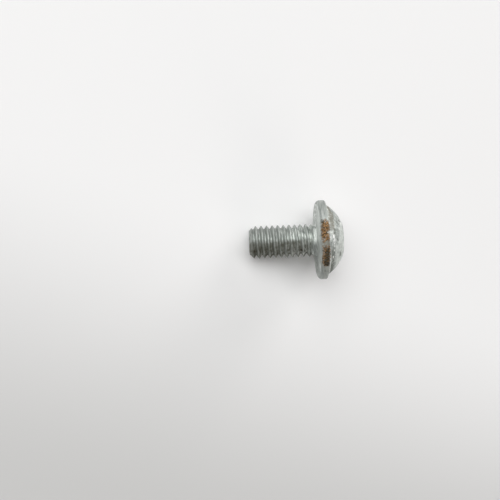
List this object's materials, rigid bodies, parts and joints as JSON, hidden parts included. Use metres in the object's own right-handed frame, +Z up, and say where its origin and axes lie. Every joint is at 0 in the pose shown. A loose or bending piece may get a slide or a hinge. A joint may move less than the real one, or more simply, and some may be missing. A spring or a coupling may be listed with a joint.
{
  "type": "star drive bolt",
  "caption": "Short flanged machine bolt with a domed head, a six-lobe star drive and a rolled metric thread, dull zinc with a rusted rim.",
  "frame": {"origin": "centre of the bearing face, under the flange, with the bolt lying at rest on its rim and its last crest", "axes": "+X runs towards the head, +Z is up from the surface it lies on, and the bolt's own axis lies in the XZ plane, rising 19.28 degrees towards the head"},
  "size_m": [0.0173, 0.0142, 0.0137],
  "materials": {
    "zinc_plated_steel": "dull grey zinc plating on steel, worn at the edges, with orange-brown rust patches on the rim"
  },
  "bodies": {
    "root": {"bolt": "zinc_plated_steel"}
  },
  "joints": []
}
